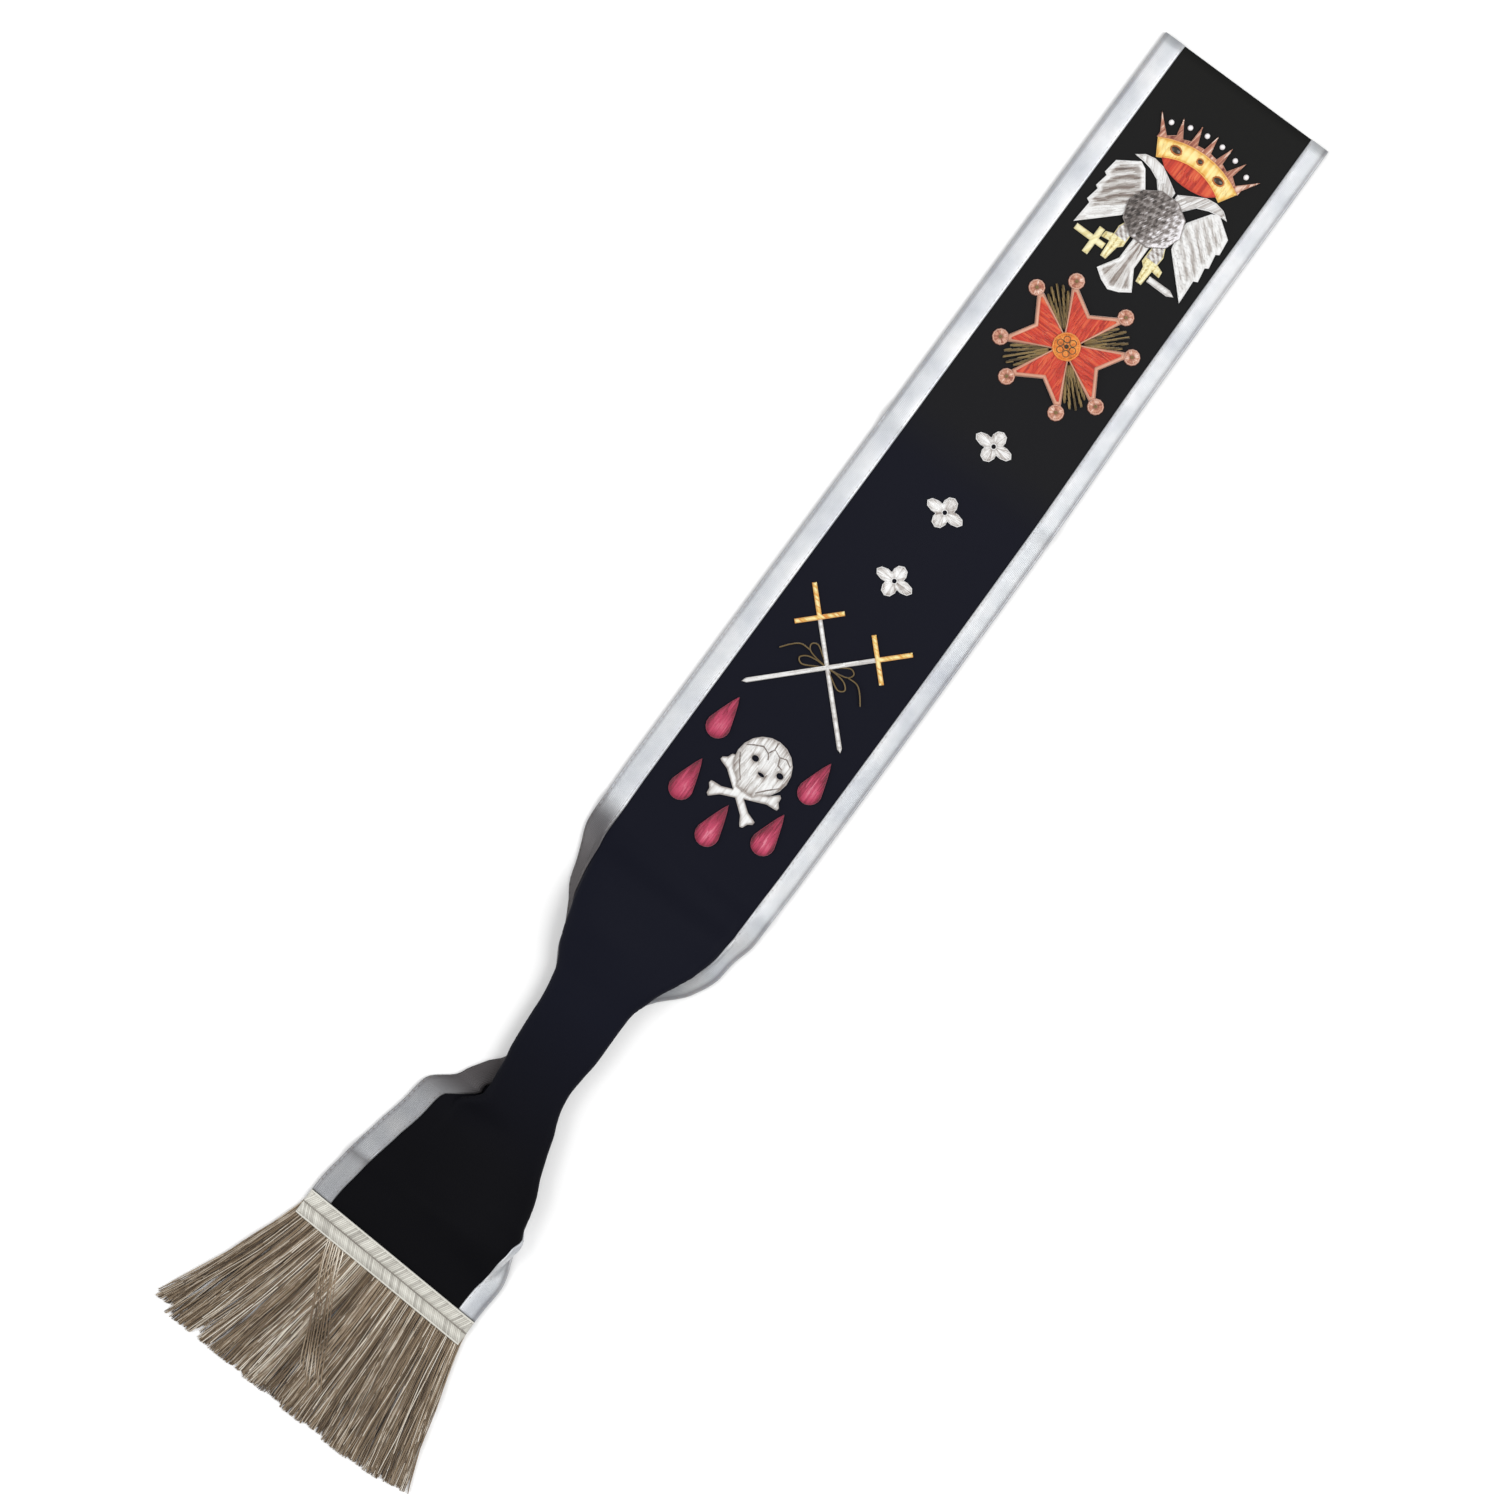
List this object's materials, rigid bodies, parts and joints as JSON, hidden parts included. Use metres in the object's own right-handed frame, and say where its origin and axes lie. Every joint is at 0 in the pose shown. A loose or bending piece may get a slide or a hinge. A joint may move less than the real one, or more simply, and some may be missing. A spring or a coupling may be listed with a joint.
{
  "type": "sash of an order",
  "caption": "Long black cloth sash edged with metallic ribbon, drawn together in pleats above a fringed tail, with raised emblems: crown, bird, cross, swords, skull and drops.",
  "frame": {"origin": "middle of the sash's bounding box, on the surface that it lies on", "axes": "+Y towards the shoulder end, along the sash; +X to the right of the face seen from above; +Z out of the face"},
  "size_m": [0.1582, 0.8124, 0.0177],
  "materials": {
    "black_cloth": "black satin-faced cloth, soft sheen, fine weave",
    "silver_ribbon": "silver metallic ribbon, ribbed along its length",
    "cream_braid": "cream and silver woven braid with two ribs",
    "metallic_strands": "taupe-silver twisted metallic strands",
    "gold_thread": "gold metallic thread in satin stitch",
    "rose_thread": "rose-tan thread, raised",
    "red_thread": "red silk thread in satin stitch",
    "pearl": "small white imitation pearls",
    "dark_stone": "small dark glossy cabochons",
    "grey_thread": "mottled silver-grey thread in feather stitch",
    "white_thread": "white silk thread in satin stitch",
    "olive_thread": "dark gold thread, fine",
    "crimson_thread": "crimson silk thread in satin stitch"
  },
  "bodies": {
    "root": {"band": "black_cloth", "border_left": "silver_ribbon", "border_right": "silver_ribbon", "fringe_heading": "cream_braid", "fringe": "metallic_strands", "crown_circlet": "gold_thread", "bird_leg_left": "gold_thread", "bird_leg_right": "gold_thread", "bird_sword_hilt": "gold_thread", "cross_centre": "gold_thread", "sword_hilt_left": "gold_thread", "sword_hilt_right": "gold_thread", "crown_points": "rose_thread", "cross_knob_1": "rose_thread", "cross_knob_2": "rose_thread", "cross_knob_3": "rose_thread", "cross_knob_4": "rose_thread", "cross_knob_5": "rose_thread", "cross_knob_6": "rose_thread", "cross_knob_7": "rose_thread", "cross_knob_8": "rose_thread", "crown_lining": "red_thread", "cross_arms": "red_thread", "crown_pearl_1": "pearl", "crown_pearl_2": "pearl", "crown_pearl_3": "pearl", "crown_pearl_4": "pearl", "crown_pearl_5": "pearl", "crown_pearl_6": "pearl", "crown_stone_left": "dark_stone", "crown_stone_centre": "dark_stone", "crown_stone_right": "dark_stone", "bird_body": "grey_thread", "bird_wing_left": "white_thread", "bird_wing_right": "white_thread", "bird_head_left": "white_thread", "bird_head_right": "white_thread", "bird_tail": "white_thread", "bird_sword_blade": "white_thread", "rosette_1": "white_thread", "rosette_2": "white_thread", "rosette_3": "white_thread", "sword_blades": "white_thread", "skull": "white_thread", "crossbones": "white_thread", "cross_rays_1": "olive_thread", "cross_rays_2": "olive_thread", "cross_rays_3": "olive_thread", "cross_rays_4": "olive_thread", "sword_bow_left": "olive_thread", "sword_bow_right": "olive_thread", "drop_upper_left": "crimson_thread", "drop_upper_right": "crimson_thread", "drop_lower_left": "crimson_thread", "drop_lower_right": "crimson_thread", "drop_bottom": "crimson_thread"}
  },
  "joints": []
}
